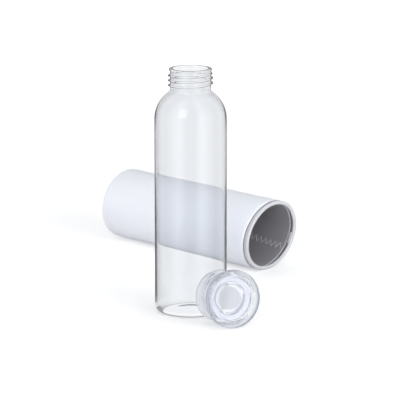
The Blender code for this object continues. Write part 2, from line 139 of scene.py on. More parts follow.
class BottleSettings(bpy.types.PropertyGroup):
    body_radius: length("Body radius", "Radius of the bottle's straight body", 0.0325)
    height: length("Height", "From the surface it stands on to the lip", 0.223)
    wall: length("Wall", "Thickness of the glass", 0.0022)
    base: length("Base", "Thickness of the glass at the base", 0.004)
    base_corner: length("Base corner", "Rounding between body and base", 0.007)
    floor_corner: length("Floor corner", "Rounding inside, between wall and floor", 0.004)
    ring_width: length("Resting ring", "Width of the flat ring that the bottle stands on", 0.0025)
    push_up: length("Push-up", "How far the base is pushed up in the middle", 0.003)
    swell: length("Shoulder radius", "Radius of the shoulder's arc", 0.0298)
    neck_fillet: length("Neck fillet", "Radius of the hollow between shoulder and neck", 0.003)
    neck_radius: length("Neck radius", "Radius of the neck between the threads", 0.0184)
    neck_length: length("Neck length", "From the top of the shoulder to the lip", 0.0191)
    neck_wall: length("Neck wall", "Thickness of the neck", 0.0025)
    lip_height: length("Lip height", "Height of the bead at the lip", 0.0024)
    lip_stand_out: length("Lip bead", "How far the lip's bead stands out", 0.0008)
    lip_rounding: length("Lip rounding", "Rounding of the lip's edges", 0.0006)
    thread_depth: length("Thread depth", "How far the thread stands out", 0.002)
    thread_width: length("Thread width", "Width of the thread's ridge", 0.0028)
    thread_lift: length("Thread lift", "Lowest turn above the neck's foot", 0.00206)
    thread_turns: number("Thread turns", "Turns of the thread", 2.95, least=0.5)
    thread_start: degrees("Thread start", "Where the thread starts", -2)
    glass: colour("Glass", "Colour of the glass where light crosses it straight", (0.944, 0.956, 0.974))
    # Painted shade: the dark colour laid on the glass where the view grazes it, for its dark edges
    glass_edge_shade: colour("Glass edge", "Colour of the glass where light runs along it", (0.085, 0.08, 0.09))


class LidSettings(bpy.types.PropertyGroup):
    pitch: length("Pitch", "Rise of the thread in one turn", 0.0044)
    height: length("Height", "From the skirt's end to the top", 0.030)
    flange_radius: length("Flange radius", "Radius of the flange round the top", 0.026)
    flange_height: length("Flange height", "Height of the flange", 0.0066)
    flange_rounding: length("Flange rounding", "Rounding of the flange's edges", 0.0012)
    skirt_radius: length("Skirt radius", "Outer radius of the skirt", 0.0236)
    cavity_radius: length("Cavity radius", "Inner radius of the skirt", 0.0208)
    skirt_rounding: length("Skirt rounding", "Rounding of the skirt's end", 0.0007)
    recess_radius: length("Recess radius", "Radius of the recess in the top", 0.0194)
    recess_depth: length("Recess depth", "Depth of the recess", 0.0056)
    recess_rounding: length("Recess rounding", "Rounding of the recess's edges", 0.0016)
    floor: length("Floor", "Thickness under the recess", 0.002)
    dish_depth: length("Dish depth", "Depth of the dish in the recess's middle", 0.003)
    dish_rounding: length("Dish rounding", "Rounding of the dish's corner", 0.0024)
    plug_radius: length("Plug radius", "Radius of the plug inside the lid", 0.015)
    plug_wall: length("Plug wall", "Thickness of the plug's side", 0.0015)
    thread_depth: length("Thread depth", "How far the thread stands in", 0.0014)
    thread_width: length("Thread width", "Width of the thread's ridge", 0.0022)
    thread_lift: length("Thread lift", "First turn above the skirt's end", 0.0032)
    thread_turns: number("Thread turns", "Turns of the thread", 2.25, least=0.5)
    thread_start: degrees("Thread start", "Where the thread starts", 204)
    seat_gap: length("Seat gap", "Room between the lid and its seal", 0.0003)
    seal_thickness: length("Seal thickness", "Thickness of the silicone ring", 0.002)
    seal_rounding: length("Seal rounding", "Rounding of the silicone ring's edges", 0.0004)
    plastic: colour("Plastic", "Colour of the plastic where light crosses it straight", (0.92, 0.935, 0.975))
    # Painted shade: the grey laid on the plastic where the view grazes it and where its painted shade is
    plastic_edge_shade: colour("Plastic edge", "Colour of the plastic where light runs along it", (0.56, 0.58, 0.64))
    silicone: colour("Silicone", "Colour of the seal", (0.88, 0.88, 0.93))


class SleeveSettings(bpy.types.PropertyGroup):
    length: length("Length", "From the closed end to the mouth", 0.214)
    radius: length("Radius", "Outer radius of the sleeve", 0.0346)
    shell: length("Shell", "Thickness of the outer cloth with its foam", 0.0008)
    lining: length("Lining", "Thickness of the lining", 0.0004)
    ease: length("Ease", "Room between shell and lining", 0.0003)
    inner_radius: length("Inner radius", "Radius inside the lining", 0.0331)
    corner: length("Corner", "Rounding of the closed end", 0.0022)
    inset: length("Inset", "How far the disc at the closed end is set in", 0.001)
    hem_width: length("Hem width", "Width of the binding round the mouth", 0.0056)
    hem_turn_in: length("Hem turn-in", "How much further the binding runs inside", 0.0026)
    hem_roll: length("Hem roll", "Thickness of the roll at the mouth", 0.0036)
    hem_edge: length("Hem edge", "Width and height of the binding's raised edge inside", 0.0008)
    mouth_lean: degrees("Mouth lean", "How far the mouth's top leans out", 11.2)
    end_lean: degrees("End lean", "How far the end's top leans in", 5.8)
    swing: degrees("Swing", "How far both ends are turned sideways", 3.9)
    thread_radius: length("Thread radius", "Radius of the sewing thread", 0.00025)
    join_angle: degrees("Join", "Where the binding's ends overlap", -14)
    join_width: length("Join width", "How far the binding's ends overlap", 0.012)
    hem_ribs: count("Hem ribs", "Ribs round the binding", 132)
    hem_stitches: count("Hem stitches", "Stitches round the hem", 72)
    base_stitches: count("Base stitches", "Stitches round the base", 36)
    seam_start: degrees("Seam start", "Where the side seam meets the hem", -30.5)
    seam_twist: degrees("Seam twist", "How far the side seam winds round", 67.5)
    seam_pitch: length("Seam pitch", "Length of one zigzag of the side seam", 0.0072)
    seam_width: length("Seam width", "Width of the side seam's zigzag", 0.0065)
    cloth: colour("Cloth", "Colour of the outer cloth", (0.885, 0.905, 0.965))
    lining_colour: colour("Lining colour", "Colour of the lining", (0.32, 0.31, 0.338))
    binding: colour("Binding", "Colour of the binding", (0.67, 0.67, 0.71))
    thread: colour("Thread", "Colour of the sewing thread outside", (0.20, 0.20, 0.22))
    inner_thread: colour("Inner thread", "Colour of the sewing thread inside", (0.66, 0.66, 0.70))


class StageSettings(bpy.types.PropertyGroup):
    floor_size: length("Floor size", "Half the width of the floor", 9.0)
    floor_colour: colour("Floor colour", "Colour of the floor", (0.80, 0.80, 0.80))
    light: number("Light", "Strength of the world's light", 0.5)
    floor_glow: number("Floor glow", "White that the eye sees on the floor", 0.721)
    flags: number("Flags", "How bright the dark flags look in the glass", 0.55)


# Shader maths


def connect(tree, slot, value):
    """Links a wrapped value to a socket, or sets the socket to a plain one."""
    if isinstance(value, Value):
        tree.links.new(value.socket, slot)
    else:
        slot.default_value = value


def set_stops(ramp, stops):
    """Gives a colour ramp its stops, each a place and a level of grey."""
    for element, (place, level) in zip(ramp.elements, (stops[0], stops[-1])):
        element.position, element.color = place, (level,) * 4
    for place, level in stops[1:-1]:
        ramp.elements.new(place).color = (level,) * 4


class Value:
    """Wraps a node's output socket, so that sums of values become Math nodes."""

    def __init__(self, tree, socket):
        self.tree = tree
        self.socket = socket

    def node(self, kind, settings=None, **inputs):
        """Adds a node of a type. Its settings, such as a ramp's stops, are set first, and then its sockets, by
        name or as in0, in1…"""
        made = self.tree.nodes.new(kind)
        for key, value in (settings or {}).items():
            if key == "stops":
                set_stops(made.color_ramp, value)
            else:
                setattr(made, key, value)
        for key, value in inputs.items():
            by_number = key[:2] == "in" and key[2:].isdigit()
            connect(self.tree, made.inputs[int(key[2:]) if by_number else key.replace("_", " ")], value)
        return made

    def get(self, kind, socket=0, settings=None, **inputs):
        """The wrapped output of a new node."""
        return Value(self.tree, self.node(kind, settings, **inputs).outputs[socket])

    def parts(self):
        """The parts x, y and z of a wrapped vector."""
        axes = self.node("ShaderNodeSeparateXYZ", None, Vector=self)
        return [Value(self.tree, socket) for socket in axes.outputs]

    def ramp(self, low, high, first=0.0, last=1.0):
        """Goes softly from first to last as this value goes from low to high."""
        soft = {"interpolation_type": "SMOOTHSTEP"}
        return self.get("ShaderNodeMapRange", 0, soft, in0=self, in1=low, in2=high, in3=first, in4=last)

    def blend(self, first, second):
        """A colour that goes from the first to the second as this value goes from 0 to 1."""
        first, second = (part if isinstance(part, Value) else (*part, 1.0) for part in (first, second))
        return self.get("ShaderNodeMix", 2, {"data_type": "RGBA"}, in0=self, in6=first, in7=second)

    def mix_shaders(self, first, second):
        """The first shader where this value is 0 and the second where it is 1."""
        return self.get("ShaderNodeMixShader", 0, None, in0=self, in1=first, in2=second)

    def math(self, operation, other=0.0, clamp=False, swap=False):
        first, second = (other, self) if swap else (self, other)
        return self.get("ShaderNodeMath", 0, {"operation": operation, "use_clamp": clamp}, in0=first, in1=second)

    def __add__(self, other):
        return self.math("ADD", other)

    def __sub__(self, other):
        return self.math("SUBTRACT", other)

    def __mul__(self, other):
        return self.math("MULTIPLY", other)

    def __truediv__(self, other):
        return self.math("DIVIDE", other)

    def __pow__(self, other):
        return self.math("POWER", other)

    def __radd__(self, other):
        return self.math("ADD", other, swap=True)

    def __rsub__(self, other):
        return self.math("SUBTRACT", other, swap=True)

    def __rmul__(self, other):
        return self.math("MULTIPLY", other, swap=True)

    def __rtruediv__(self, other):
        return self.math("DIVIDE", other, swap=True)


def new_material(name):
    """A material with a Principled shader. Returns it, the shader and the wrapped place on the object."""
    made = bpy.data.materials.new(name)
    made.use_nodes = True
    tree = made.node_tree
    place = tree.nodes.new("ShaderNodeTexCoord")
    return made, tree.nodes["Principled BSDF"], Value(tree, place.outputs["Object"])


def set_surface(value):
    """Makes a wrapped shader its material's surface."""
    connect(value.tree, value.tree.nodes["Material Output"].inputs["Surface"], value)


def set_shader(shader, **values):
    """Sets the shader's own sockets to numbers, colours or wrapped values."""
    for key, value in values.items():
        connect(shader.id_data, shader.inputs[key.replace("_", " ")], value)


def attribute(place, name):
    """The value that the piece's own points have under that name."""
    return place.get("ShaderNodeAttribute", "Fac", {"attribute_name": name})


def noise(place, scale, detail):
    """Soft noise, about scale patches to the metre."""
    return place.get("ShaderNodeTexNoise", "Fac", Vector=place, Scale=scale, Detail=detail)


def bumps(height, strength, distance):
    """The surface's direction once a height is laid on it."""
    return height.get("ShaderNodeBump", 0, Height=height, Strength=strength, Distance=distance)


def darker(rgb, share):
    """A colour times a share."""
    return tuple(share * part for part in rgb)


def clear_material(name, middle, edge, ior, roughness, ripple, ripple_size, clear=1.0, moulded=False):
    """Clear moulded or blown stuff. Its colour goes towards the edge colour where the view grazes its outer side,
    by the piece's own strength per row: painted shade for the dark edges of clear stuff. It has faint ripples
    in its surface and a glossy coat, which mirrors the studio and fades where light runs along it. Moulded stuff
    is also dull where the piece's own frost is high and darker where its painted shade is. Lamps shine through it."""
    made, shader, place = new_material(name)
    slant = place.get("ShaderNodeLayerWeight", "Facing", Blend=0.5)
    outside = attribute(place, "outside")
    steep = slant * slant
    # Painted shade: the colour goes towards the edge colour where the view grazes the outer side, by each row's
    # strength
    line = (slant * outside).ramp(0.76, 0.98, 0.0, 0.8)
    rim = line + (steep * 0.58 * outside).math("MINIMUM", 0.32) + steep * 0.04
    if moulded:
        # Moulded pieces add their own painted shade to that darkening
        rim, roughness = rim + attribute(place, "haze"), roughness + attribute(place, "frost") * 0.4
    bump = bumps(noise(place, ripple_size, 1.0), ripple, 0.001)
    set_shader(
        shader, Base_Color=rim.blend(middle, edge), Roughness=roughness, IOR=ior, Transmission_Weight=clear,
        Normal=bump, Coat_Weight=(1.0 - steep) * (outside * 0.5 + 0.5), Coat_IOR=1.5, Coat_Roughness=0.10,
        Coat_Normal=bump,
    )
    lamp_ray = place.get("ShaderNodeLightPath", "Is Shadow Ray")
    through = place.get("ShaderNodeBsdfTransparent", 0, None, Color=(*LAMP_THROUGH_CLEAR, 1.0))
    set_surface(lamp_ray.mix_shaders(Value(place.tree, shader.outputs[0]), through))
    return made


def silicone_material(name, rgb):
    """Soft silicone with a fine satin grain."""
    made, shader, place = new_material(name)
    grain = noise(place, 900.0, 2.0)
    set_shader(shader, Base_Color=(*rgb, 1.0), Roughness=0.35 + grain * 0.15, Normal=bumps(grain, 0.15, 0.0001))
    return made


def cloth_map_of(place):
    """The place across and along the piece's own map, in metres."""
    return place.get("ShaderNodeUVMap", 0, {"uv_map": CLOTH_MAP}).parts()[:2]


def knit_material(name, rgb, shadow, columns, rows, depth, roughness, sheen):
    """Fine knitted cloth on the piece's own map, which is in metres: columns of stitches with a V in each
    row, painted shade between them, and a slow random change of tone."""
    made, shader, place = new_material(name)
    across, along = cloth_map_of(place)
    column = (across * columns).math("FRACT")
    leg = (column - 0.5).math("ABSOLUTE")
    row = (along * rows + leg * 1.2).math("FRACT")
    loop = (row - 0.5).math("ABSOLUTE") * 2.0
    groove = (column * math.tau).math("COSINE") * 0.5 + 0.5
    height = (1.0 - loop * loop) * 0.6 + (1.0 - groove) * 0.4
    fuzz = noise(place, 2600.0, 2.0)
    # Painted shade in the grooves between the stitches, with random tone from the noise
    mask = (height * 0.6 + fuzz * 0.25 + noise(place, 26.0, 3.0) * 0.35).math("MULTIPLY", 1.0, clamp=True)
    set_shader(
        shader, Base_Color=mask.blend(shadow, rgb), Roughness=roughness, Normal=bumps(height + fuzz * 0.4, 0.6, depth),
        Sheen_Weight=sheen, Sheen_Roughness=0.5,
    )
    return made


def rib_material(name, rgb, shadow, ribs):
    """Ribbed binding on the piece's own map: ribs across the band with fine yarns along them, and painted shade
    between the ribs. Where the piece's own unshaded mark is low, in the channel behind the roll, it is painted
    dark as shade."""
    made, shader, place = new_material(name)
    across, along = cloth_map_of(place)
    rib = (across * ribs * math.tau).math("COSINE") * 0.5 + 0.5
    yarn = (along * 2600.0 + rib * 0.5).math("FRACT")
    yarn = 1.0 - ((yarn - 0.5).math("ABSOLUTE") * 2.0) ** 2.0
    fuzz = noise(place, 2400.0, 2.0)
    # Painted shade in the grooves between the ribs, with random tone from the noise
    mask = (rib * 0.5 + yarn * 0.15 + fuzz * 0.2 + noise(place, 60.0, 2.0) * 0.3).math("MULTIPLY", 1.0, clamp=True)
    # Painted shade: in the channel behind the roll the binding is painted at 0.30 of its colour
    tint = attribute(place, "tone").blend(darker(rgb, 0.30), mask.blend(shadow, rgb))
    bump = bumps(yarn * 0.5 + fuzz * 0.4, 0.5, 0.0001)
    set_shader(shader, Base_Color=tint, Roughness=0.85, Normal=bump, Sheen_Weight=0.2, Sheen_Roughness=0.4)
    return made


def thread_material(name, rgb):
    """Twisted sewing thread."""
    made, shader, place = new_material(name)
    fuzz = noise(place, 3200.0, 2.0)
    set_shader(shader, Base_Color=fuzz.blend(darker(rgb, 0.6), rgb), Roughness=0.7, Normal=bumps(fuzz, 0.5, 0.0001))
    return made


# Shapes


def arc(centre_r, centre_z, radius, start, end, steps):
    """Points (r, z) on a circle: the centre plus the radius times cosine and sine of evenly spaced angles
    from start to end, in degrees."""
    angles = np.radians(np.linspace(start, end, steps + 1))
    return np.stack([centre_r + radius * np.cos(angles), centre_z + radius * np.sin(angles)], axis=1)


def filled(points, step):
    """The same path through the points, with more points put evenly on each piece longer than the step."""
    points = np.asarray(points, float)
    reach = np.linalg.norm(np.diff(points, axis=0), axis=1)
    counts = np.maximum(1, np.ceil(reach / step - 1e-6).astype(int))
    place = np.concatenate([i + np.arange(n) / n for i, n in enumerate(counts)] + [[len(points) - 1]])
    return np.stack([np.interp(place, np.arange(len(points)), points[:, k]) for k in range(2)], axis=1)


def smooth(x):
    """Rises softly from 0 to 1 as x goes from 0 to 1: x squared times 3 less 2 x."""
    x = np.clip(x, 0.0, 1.0)
    return x * x * (3.0 - 2.0 * x)


def thread_height(sizes, angle, z, first, pitch, fade_turns=0.15, power=1.4):
    """How far a screw thread's ridge stands out at each angle and height. In turns, the nearest turn of the
    helix is the whole number next to the height less the angle; the ridge is a cosine hump, to a power, across
    the distance from it, and it fades out over its first and last part of a turn."""
    share = np.mod((angle - sizes.thread_start) / math.tau, 1.0)
    up = (z - first) / pitch
    along = np.round(up - share) + share
    left = np.minimum(along, sizes.thread_turns - along)
    hump = np.cos(np.clip((up - along) * pitch / sizes.thread_width, -0.5, 0.5) * math.pi) ** power
    fade = np.sin(math.pi / 2 * np.clip(left / fade_turns, 0.0, 1.0))
    return np.where(left < 0, 0.0, sizes.thread_depth * hump * fade)


def revolved(section, columns, bulge=None):
    """A surface of revolution as a grid of points: row i and column j is the section's point i turned
    about Z by j steps of the circle. Bulge gives how far the surface stands out at (angle, r, z)."""
    angle, radius = np.meshgrid(np.arange(columns) * math.tau / columns, section[:, 0])
    z = np.repeat(section[:, 1:], columns, axis=1)
    if bulge is not None:
        radius = radius + bulge(angle, radius, z)
    return np.stack([radius * np.cos(angle), radius * np.sin(angle), z], axis=-1)


def faces_between(lower, upper):
    """The faces with four corners between rows of point numbers and the rows next to them, all the way round."""
    return np.stack([lower, np.roll(lower, -1, 1), np.roll(upper, -1, 1), upper], axis=-1).reshape(-1, 4)


def tube_faces(index):
    """The faces between rows of point numbers, and the triangles that close the first and the last row with a
    tip each. The tips are the next two numbers."""
    tip = np.full(index.shape[1], index.size + index[0, 0])
    start = [tip, np.roll(index[0], -1), index[0]]
    end = [tip + 1, index[-1], np.roll(index[-1], -1)]
    return faces_between(index[:-1], index[1:]), np.hstack([start, end]).T


def new_mesh(name, vertices, faces):
    """A smooth mesh from points and faces."""
    mesh = bpy.data.meshes.new(name)
    mesh.from_pydata(vertices.tolist(), [], faces)
    mesh.shade_smooth()
    return mesh


def grid_mesh(name, grid, ring=False):
    """A mesh from a grid of points whose columns go round. With ring, the rows close up too. Without it, the
    first and last row each shrink to one point at their middle. The faces are turned so that the volume, the
    sum of each face's corner products, is positive."""
    vertices = grid.reshape(-1, 3)
    index = np.arange(len(vertices)).reshape(grid.shape[:2])
    if ring:
        quads, triangles = faces_between(index, np.roll(index, -1, axis=0)), np.zeros((0, 3), int)
    else:
        vertices = np.vstack([vertices, grid[0].mean(axis=0), grid[-1].mean(axis=0)])
        quads, triangles = tube_faces(index)
    corners = vertices[np.vstack([quads[:, :3], quads[:, [0, 2, 3]], triangles])]
    volume = np.einsum("ij,ij->", corners[:, 0], np.cross(corners[:, 1], corners[:, 2]))
    way = -1 if volume < 0 else 1
    return new_mesh(name, vertices, quads[:, ::way].tolist() + triangles[:, ::way].tolist())


def lay_rows(mesh, name, values):
    """Gives each of the mesh's points its row's value, or its own from a grid of them, and a tip the value of
    the row next to it."""
    values = np.asarray(values, float).reshape(len(values), -1)
    table = np.broadcast_to(values, (len(values), len(mesh.vertices) // len(values))).ravel()
    ends = values[[0, -1], 0][: len(mesh.vertices) - len(table)]
    layer = mesh.attributes.new(name, "FLOAT", "POINT")
    layer.data.foreach_set("value", np.concatenate([table, ends]).astype(np.float32))


def points_of(mesh):
    """The places of the mesh's points."""
    points = np.zeros(len(mesh.vertices) * 3)
    mesh.vertices.foreach_get("co", points)
    return points.reshape(-1, 3)


def corners_of(mesh):
    """The number of the point at each corner of the mesh's faces."""
    corners = np.zeros(len(mesh.loops), int)
    mesh.loops.foreach_get("vertex_index", corners)
    return corners


def lay_map(mesh, table):
    """Gives the mesh its cloth map, from each corner's place across and along."""
    layer = mesh.uv_layers.new(name=CLOTH_MAP)
    layer.data.foreach_set("uv", table.astype(np.float32).ravel())


def unit(vectors):
    """The vectors, each divided by its length."""
    return vectors / np.linalg.norm(vectors, axis=1)[:, None]


def tube_mesh(name, runs, radius, sides=6, end_width=0.55, tip=0.6):
    """Lengths of thread: round each run of points, a small circle of points square to the run's direction,
    narrower at the ends and closed by a tip at each. All the runs are one mesh. A run comes with the way that
    is outward at its points."""
    vertices, faces, base = [], [], 0
    turn = np.arange(sides)[:, None] * math.tau / sides
    for run, outward in runs:
        ahead = unit(np.gradient(run, axis=0))
        side = unit(np.cross(ahead, outward))
        ring = side[:, None] * np.cos(turn) + np.cross(side, ahead)[:, None] * np.sin(turn)
        width = np.full(len(run), radius)
        width[[0, -1]] *= end_width
        points = run[:, None] + ring * width[:, None, None]
        tips = run[[0, -1]] + ahead[[0, -1]] * radius * np.array([[-tip], [tip]])
        vertices.append(np.vstack([points.reshape(-1, 3), tips]))
        quads, triangles = tube_faces(base + np.arange(len(run) * sides).reshape(-1, sides))
        faces += quads.tolist() + triangles.tolist()
        base += len(vertices[-1])
    return new_mesh(name, np.vstack(vertices), faces)


def add_piece(mesh, place, material, body, node):
    """Puts a mesh in its place, dressed in its material, riding on its body in place of a CAD node."""
    mesh.transform(place)
    mesh.materials.append(material)
    piece = bpy.data.objects.new(mesh.name, mesh)
    bpy.context.scene.collection.objects.link(piece)
    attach(piece, body)
    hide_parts(node)
    return piece


# The bottle

FLOOR_RISE = 0.6  # how much of the base's push-up the inner floor shows
BOTTOM_STRENGTH = -0.3  # the strength of the painted edge shade on the base and the inner floor: below zero, which keeps it off them


def shoulder(body, neck, swell, fillet, steps):
    """A shoulder's section from the neck down to the body: a hollow fillet tangent to the neck, then an arc
    tangent to it and to the body. Heights are from the arc's centre. Also returns where the neck starts."""
    centre_r = body - swell
    fillet_r = neck + fillet
    rise = math.sqrt((swell + fillet) ** 2 - (fillet_r - centre_r) ** 2)
    slope = math.degrees(math.atan2(rise, fillet_r - centre_r))
    hollow = arc(fillet_r, rise, fillet, 180, 180 + slope, steps // 3)
    return np.vstack([hollow, arc(centre_r, 0.0, swell, slope, 0, steps)[1:]]), rise


def bottle_mesh(sizes, pitch, columns=200, shoulder_steps=36):
    """The blown glass: its section goes from the middle of the inner floor up inside, over the lip and down
    outside to the middle of the pushed-up base, and turns about Z. The thread stands out from the neck."""
    bore = sizes.neck_radius - sizes.neck_wall
    inner_body = sizes.body_radius - sizes.wall
    foot = sizes.height - sizes.neck_length
    outer, rise = shoulder(sizes.body_radius, sizes.neck_radius, sizes.swell, sizes.neck_fillet, shoulder_steps)
    inner_fillet = sizes.neck_fillet + sizes.neck_wall
    inner, _ = shoulder(inner_body, bore, sizes.swell - sizes.wall, inner_fillet, shoulder_steps)
    lift = np.array([0.0, foot - rise])
    floor_edge = inner_body - sizes.floor_corner
    ring_outer = sizes.body_radius - sizes.base_corner
    ring_inner = ring_outer - sizes.ring_width
    dome = np.linspace(0.0, 1.0, 13)[1:]
    crown = (1 - dome**2) ** 2
    floor = np.stack([dome * floor_edge, sizes.base + FLOOR_RISE * sizes.push_up * crown], axis=1)
    corner = arc(floor_edge, sizes.base + sizes.floor_corner, sizes.floor_corner, -90, 0, 14)[1:]
    rounding, lip_steps = sizes.lip_rounding, 6
    bead = sizes.neck_radius + sizes.lip_stand_out - rounding
    bead_end = sizes.height - sizes.lip_height
    lip = np.vstack([
        arc(bore + rounding, sizes.height - rounding, rounding, 180, 90, lip_steps),
        arc(bead, sizes.height - rounding, rounding, 90, 0, lip_steps),
        arc(bead, bead_end + rounding * 1.6, rounding, 0, -60, lip_steps - 1),
        [[sizes.neck_radius, bead_end]],
    ])
    heel = arc(ring_outer, sizes.base_corner, sizes.base_corner, 0, -90, 20)
    pushed = np.stack([dome * ring_inner, sizes.push_up * crown], axis=1)[::-1]
    coarse, fine = 0.003, 0.00022  # the longest steps along the section, and those at the thread
    inside = filled(np.vstack([floor, corner, (inner + lift)[::-1]]), coarse)
    neck = filled(np.vstack([lip[-1:], [[sizes.neck_radius, foot]]]), fine)[1:]
    outside = filled(np.vstack([neck[-1:], (outer + lift)[1:], heel, pushed]), coarse)[1:]
    section = np.vstack([inside, lip, neck, outside])
    first = foot + sizes.thread_lift
    neck_rows = np.zeros((len(section), 1), bool)
    neck_rows[len(inside) + lip_steps : len(inside) + len(lip) + len(neck) + lip_steps] = True

    def bulge(angle, radius, z):
        ridge = thread_height(sizes, angle, z, first, pitch)
        over = np.maximum(0.0, sizes.neck_radius + ridge - radius)
        return np.where(neck_rows & (ridge > 0), over, 0.0)

    mesh = grid_mesh("bottle_blown_glass", revolved(section, columns, bulge))
    heights, strengths = zip(  # how strongly painted shade darkens the outer side where the view grazes it, by height
        (0.0, 1.3), (0.001, 1.45), (0.0018, 1.6), (0.003, 0.4), (0.006, 0.4), (0.008, 1.1), (0.012, 1.3),
        (0.09, 1.25), (0.13, 1.12), (0.165, 1.1), (0.182, 1.25), (foot - 0.006, 0.95), (foot, 1.0), (foot + 0.003, 1.2),
    )
    row = np.arange(len(section))
    outer_side = np.interp(section[:, 1], heights, strengths) * (row > len(inside))
    bottom = (row >= len(section) - len(pushed)) | (row < len(floor) + len(corner) // 2)
    lay_rows(mesh, "outside", np.where(bottom, BOTTOM_STRENGTH, outer_side))
    return mesh


class BOTTLE_OT_blown_glass(bpy.types.Operator):
    """Make the blown glass bottle with the thread round its neck"""

    bl_idname = "bottle.blown_glass"
    bl_label = "Blown glass"

    def execute(self, context):
        sizes = context.scene.bottle_settings
        mesh = bottle_mesh(sizes, context.scene.lid_settings.pitch)
        glass = clear_material(
            "blown_glass", sizes.glass, sizes.glass_edge_shade, ior=1.01, roughness=0.0, ripple=0.06, ripple_size=90.0
        )
        add_piece(mesh, bottle_place(), glass, "bottle", "bottle_glass")
        return {"FINISHED"}


# The lid


def lid_mesh(sizes, columns=192):
    """The moulded lid: its section goes from the middle of the dish over the flange, down the skirt and up
    inside it to the plug's end, and turns about Z. The thread stands in from the skirt's inner wall."""
    floor = sizes.height - sizes.recess_depth
    dish_floor = floor - sizes.dish_depth
    plug_end = dish_floor - sizes.floor
    dish_radius = sizes.plug_radius - sizes.plug_wall
    foot = sizes.height - sizes.flange_height
    rounding = sizes.recess_rounding
    soft, round_dish = sizes.plug_wall, sizes.dish_rounding
    skirt_end, flange_end = sizes.skirt_rounding, sizes.flange_rounding
    edge = sizes.flange_radius - flange_end
    dish_lip, hollow = 0.0005, 0.0004  # the roundings between recess and dish, and between flange and skirt
    middle = dish_radius * 0.2  # where the section starts and ends
    top = np.vstack([
        [[middle, dish_floor]],
        arc(dish_radius - round_dish, dish_floor + round_dish, round_dish, -90, 0, 12),
        arc(dish_radius + dish_lip, floor - dish_lip, dish_lip, 180, 90, 4),
        arc(sizes.recess_radius - rounding, floor + rounding, rounding, -90, 0, 8),
        arc(sizes.recess_radius + rounding, sizes.height - rounding, rounding, 180, 90, 8),
        arc(edge, sizes.height - flange_end, flange_end, 90, 0, 8),
        arc(edge, foot + flange_end, flange_end, 0, -80, 8),
        arc(sizes.skirt_radius + hollow, foot - hollow, hollow, 90, 180, 4),
        arc(sizes.skirt_radius - skirt_end, skirt_end, skirt_end, 0, -90, 6),
        arc(sizes.cavity_radius + skirt_end, skirt_end, skirt_end, -90, -180, 6),
    ])
    seat = floor - sizes.floor
    coarse, fine = 0.002, 0.00025  # the longest steps along the section, and those at the thread
    wall = filled([[sizes.cavity_radius, skirt_end], [sizes.cavity_radius, seat]], fine)[1:]
    plug = np.vstack([
        [[sizes.plug_radius, seat]],
        arc(sizes.plug_radius - soft, plug_end + soft, soft, 0, -90, 8),
        [[middle, plug_end]],
    ])
    top = filled(top, coarse)
    section = np.vstack([top, wall, filled(plug, coarse)])
    row = np.arange(len(section))
    on_top, on_wall = row < len(top), (row >= len(top)) & (row < len(top) + len(wall))

    def bulge(angle, radius, z):
        ridge = thread_height(sizes, angle, z, sizes.thread_lift, sizes.pitch)
        return np.where(on_wall[:, None], -ridge, 0.0)

    mesh = grid_mesh("lid_moulding", revolved(section, columns, bulge))
    r, z = section.T
    inside, beyond = 0.003, 0.0004  # how far the recess's wall gets less painted shade, on both sides of its rounding
    recess = (r > sizes.recess_radius - inside) & (r < sizes.recess_radius + rounding + beyond) & on_top
    dish = r < dish_radius - round_dish
    ring = (r < sizes.recess_radius) & on_top
    flange = (r > sizes.recess_radius) & (z > foot - hollow / 2)
    # Painted shade strength per row where the view grazes: low on the recess's wall, high on the skirt's inner wall to
    # draw the thread's bands
    lay_rows(mesh, "outside", np.select([recess, on_top, on_wall], [0.15, 0.85, 1.25], 0.0))
    lay_rows(mesh, "frost", np.select([dish, flange], [1.0, 0.3], 0.0))
    # Painted shade: greys the dish, the recess's floor and the flange towards the edge colour
    lay_rows(mesh, "haze", np.select([dish, ring, flange & ~recess], [0.62, 0.14, 0.85], 0.0))
    return mesh


def seal_top(sizes):
    """The height of the silicone ring's upper face, just under the lid's top."""
    return sizes.height - sizes.recess_depth - sizes.floor - sizes.seat_gap


def seal_mesh(sizes, columns=128):
    """The silicone ring: a rectangle with rounded corners, turned about Z."""
    top = seal_top(sizes)
    low, rounding = top - sizes.seal_thickness, sizes.seal_rounding
    inner = sizes.plug_radius + sizes.seat_gap + rounding
    outer = sizes.cavity_radius - sizes.seat_gap - rounding
    section = np.vstack([
        arc(inner, top - rounding, rounding, 180, 90, 5),
        arc(outer, top - rounding, rounding, 90, 0, 5),
        arc(outer, low + rounding, rounding, 0, -90, 5),
        arc(inner, low + rounding, rounding, -90, -180, 5),
    ])
    return grid_mesh("lid_silicone_ring", revolved(section, columns), ring=True)


class BOTTLE_OT_screw_lid(bpy.types.Operator):
    """Make the clear screw lid and the silicone ring inside it"""

    bl_idname = "bottle.screw_lid"
    bl_label = "Screw lid"

    def execute(self, context):
        sizes = context.scene.lid_settings
        place = lid_place(seal_top(sizes) - sizes.seal_thickness / 2)
        plastic = clear_material(
            "moulded_plastic", sizes.plastic, sizes.plastic_edge_shade, ior=1.2, roughness=0.08, ripple=0.08,
            ripple_size=160.0, clear=0.88, moulded=True,
        )
        add_piece(lid_mesh(sizes), place, plastic, "lid", "lid_shell")
        silicone = silicone_material("satin_silicone", sizes.silicone)
        add_piece(seal_mesh(sizes), place, silicone, "lid", "lid_seal")
        return {"FINISHED"}


# The sleeve

SAG_WAVES = ((1.0, 2, 31, 0.6), (0.7, 3, -44, 2.1), (0.5, 5, 23, 4.0))  # height, round, along, start of each
SAG_END = 0.02  # how far from each end the waves have their full height
SEAM_BEND = 1.85  # how much faster the side seam winds with depth: the power of its share of the way
STITCH = np.linspace(0.0, 1.0, 6)  # the shares of the way along a stitch
BOW = (2 * STITCH - 1) ** 4  # how far its ends dip into the cloth, as a share


